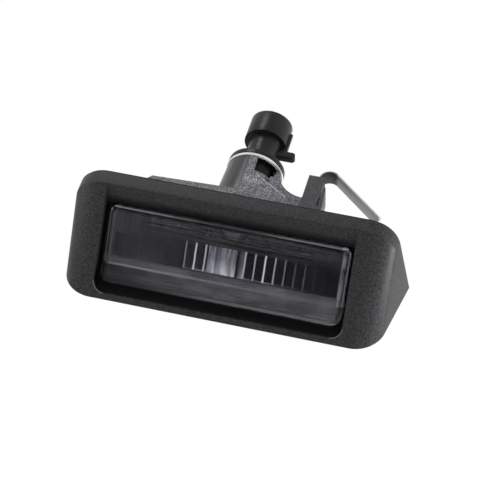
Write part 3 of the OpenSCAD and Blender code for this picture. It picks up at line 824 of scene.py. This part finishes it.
class LAMP_OT_carrier(bpy.types.Operator):
    """Make the textured carrier with its tube, web and post, and the foam gasket"""
    bl_idname = "plate_lamp.carrier"
    bl_label = "Carrier and gasket"

    def execute(self, context):
        edges, colours = settings(context)
        piece = copy_of("carrier", "carrier_moulding", finishes=2)
        round_edges(piece, edges.carrier, edges.crease_angle)
        finish_faces(piece, 1, on_guard_edge)
        plastic = sparkly_plastic("carrier plastic", colours.carrier)
        # Painted highlight: a pale copy of the carrier plastic for the guard's rounded front edges
        edge_highlight_rgb = shade(colours.carrier, EDGE_HIGHLIGHT)
        pale = grained_plastic("carrier edge highlight", edge_highlight_rgb, roughness=0.35, grain=1500, depth=0.03 * MM,
                               specular=SPECULAR)
        dress(piece, [plastic, pale], "carrier_plastic", LAMP, "carrier")
        foam = rubber("gasket foam", colours.foam, grain=900, depth=0.08 * MM, roughness=0.9)
        coat("seat_gasket", foam)
        return {"FINISHED"}


class LAMP_OT_spring(bpy.types.Operator):
    """Make the folded spring clip"""
    bl_idname = "plate_lamp.spring"
    bl_label = "Spring clip"

    def execute(self, context):
        edges, colours = settings(context)
        piece = copy_of("spring_clip", "spring_strip")
        round_edges(piece, edges.spring, SPRING_CREASE, segments=2)
        dress(piece, [bent_steel("spring steel", colours.steel)], "spring_steel", LAMP, "spring_clip")
        return {"FINISHED"}


class LAMP_OT_holder(bpy.types.Operator):
    """Make the bulb holder and its pale seal"""
    bl_idname = "plate_lamp.holder"
    bl_label = "Bulb holder"

    def execute(self, context):
        edges, colours = settings(context)
        body = copy_of("holder_body", "holder_moulding")
        round_edges(body, edges.holder, edges.crease_angle)
        plastic = grained_plastic("holder plastic", colours.holder, roughness=0.33, grain=1600,
                                  depth=0.008 * MM, specular=HOLDER_SPECULAR)
        dress(body, [plastic], "holder_plastic", HOLDER, "holder_body")
        seal = copy_of("holder_seal", "holder_ring")
        round_edges(seal, edges.seal, edges.crease_angle)
        silicone = rubber("pale silicone", colours.pale_seal, grain=700, depth=0.01 * MM, roughness=0.5)
        dress(seal, [silicone], "pale_rubber", HOLDER, "holder_seal")
        brass = metal("contact brass", colours.brass, roughness=0.3)
        for node in ("contact_front", "contact_rear"):
            coat(node, brass)
        return {"FINISHED"}


class LAMP_OT_bulb(bpy.types.Operator):
    """Finish the bulb, its filament and its wires"""
    bl_idname = "plate_lamp.bulb"
    bl_label = "Bulb"

    def execute(self, context):
        colours = settings(context)[1]
        coat("bulb_glass", clear("bulb glass", (0.97, 0.98, 1.0), ior=1.5, roughness=0.01))
        wire = metal("wire", colours.steel, roughness=0.3)
        for node in ("lead_left", "lead_right"):
            coat(node, wire)
        coil = coil_in(frame["nodes"]["filament"], "filament_coil")
        dress(coil, [metal("tungsten", colours.tungsten, roughness=0.35)], "wire", HOLDER, "filament")
        return {"FINISHED"}


# Stage, lights and camera

class LAMP_OT_stage(bpy.types.Operator):
    """Set the pale floor, the soft lights and the camera"""
    bl_idname = "plate_lamp.stage"
    bl_label = "Stage and camera"

    def execute(self, context):
        scene = context.scene
        set_camera(scene, scene.lamp_camera)
        set_floor(scene.lamp_stage)
        set_world(scene, scene.lamp_stage.fill)
        set_lights(scene)
        scene.view_settings.view_transform = "Standard"
        return {"FINISHED"}


def view_axes(camera):
    """The picture's right and up, and the way the camera looks, in the lamp's frame"""
    look = Vector((-math.sin(camera.azimuth) * math.cos(camera.elevation),
                   math.cos(camera.azimuth) * math.cos(camera.elevation),
                   math.sin(camera.elevation)))
    level = Vector((math.cos(camera.azimuth), math.sin(camera.azimuth), 0))
    upright = level.cross(look)
    right = math.cos(camera.roll) * level + math.sin(camera.roll) * upright
    up = -math.sin(camera.roll) * level + math.cos(camera.roll) * upright
    return right, up, look


def set_camera(scene, camera):
    """A camera that shows the aim at the photo's scale"""
    right, up, look = view_axes(camera)
    data = bpy.data.cameras.new("photo camera")
    data.sensor_width = 36.0
    data.lens = camera.px_per_mm / MM * camera.distance * data.sensor_width / max(PHOTO_W, PHOTO_H)
    data.clip_start = 0.01
    data.clip_end = 50
    eye = bpy.data.objects.new("photo camera", data)
    turn = Matrix((right, up, -look)).transposed()
    eye.matrix_world = Matrix.Translation(Vector(camera.aim) - look * camera.distance) @ turn.to_4x4()
    scene.collection.objects.link(eye)
    scene.camera = eye


def set_floor(stage):
    deselect_all()
    bpy.ops.mesh.primitive_plane_add(size=stage.floor_size, location=(0, 0, -stage.floor_drop))
    floor = bpy.context.object
    floor.name = "floor"
    material, _, shader = new_material("pale floor")
    set_inputs(shader, Base_Color=(0.8, 0.8, 0.8, 1), Roughness=0.9)
    floor.data.materials.append(material)


def set_world(scene, fill):
    """White wherever it is seen directly, mirrored or through the lens, and weaker as a light"""
    world = bpy.data.worlds.new("soft studio")
    world.use_nodes = True
    tree = world.node_tree
    tree.nodes.clear()
    path = tree.nodes.new("ShaderNodeLightPath")
    seen = path.outputs["Is Camera Ray"]
    for ray in ("Is Glossy Ray", "Is Transmission Ray"):
        seen = arithmetic(tree, "MAXIMUM", seen, path.outputs[ray])
    strength = ramp(tree, seen, fill, 1.0)
    light = tree.nodes.new("ShaderNodeBackground")
    set_inputs(light, Color=(1, 1, 1, 1), Strength=strength)
    output = tree.nodes.new("ShaderNodeOutputWorld")
    tree.links.new(light.outputs["Background"], output.inputs["Surface"])
    scene.world = world


def add_light(scene, name, watts, size, place):
    """A square light that faces the origin"""
    data = bpy.data.lights.new(name, "AREA")
    data.energy = watts
    data.size = size
    light = bpy.data.objects.new(name, data)
    light.location = place
    light.rotation_euler = (-Vector(place)).to_track_quat("-Z", "Y").to_euler()
    scene.collection.objects.link(light)


def set_lights(scene):
    stage = scene.lamp_stage
    add_light(scene, "key light", stage.key, *KEY_LIGHT)
    add_light(scene, "side light", stage.side, *SIDE_LIGHT)
    add_light(scene, "left light", stage.left, *LEFT_LIGHT)


class LAMP_PT_panel(bpy.types.Panel):
    """Buttons for the lamp's pieces and its stage"""
    bl_idname = "LAMP_PT_panel"
    bl_label = "Number plate lamp"
    bl_space_type = "VIEW_3D"
    bl_region_type = "UI"
    bl_category = "Plate Lamp"

    def draw(self, context):
        for operator in OPERATORS:
            self.layout.operator(operator.bl_idname)
        for group in GROUPS:
            box = self.layout.box()
            settings_group = getattr(context.scene, group)
            for name in settings_group.__annotations__:
                box.prop(settings_group, name)


OPERATORS = (LAMP_OT_stage, LAMP_OT_housing, LAMP_OT_lens, LAMP_OT_carrier, LAMP_OT_spring, LAMP_OT_holder,
             LAMP_OT_bulb)


def register():
    for group in GROUPS.values():
        bpy.utils.register_class(group)
    for name, group in GROUPS.items():
        setattr(bpy.types.Scene, name, PointerProperty(type=group))
    for operator in OPERATORS:
        bpy.utils.register_class(operator)
    bpy.utils.register_class(LAMP_PT_panel)


def unregister():
    bpy.utils.unregister_class(LAMP_PT_panel)
    for operator in reversed(OPERATORS):
        bpy.utils.unregister_class(operator)
    for name in GROUPS:
        delattr(bpy.types.Scene, name)
    for group in reversed(list(GROUPS.values())):
        bpy.utils.unregister_class(group)


def main():
    register()
    bpy.ops.plate_lamp.stage()
    bpy.ops.plate_lamp.housing()
    bpy.ops.plate_lamp.lens()
    bpy.ops.plate_lamp.carrier()
    bpy.ops.plate_lamp.spring()
    bpy.ops.plate_lamp.holder()
    bpy.ops.plate_lamp.bulb()


if __name__ == "__main__":
    main()
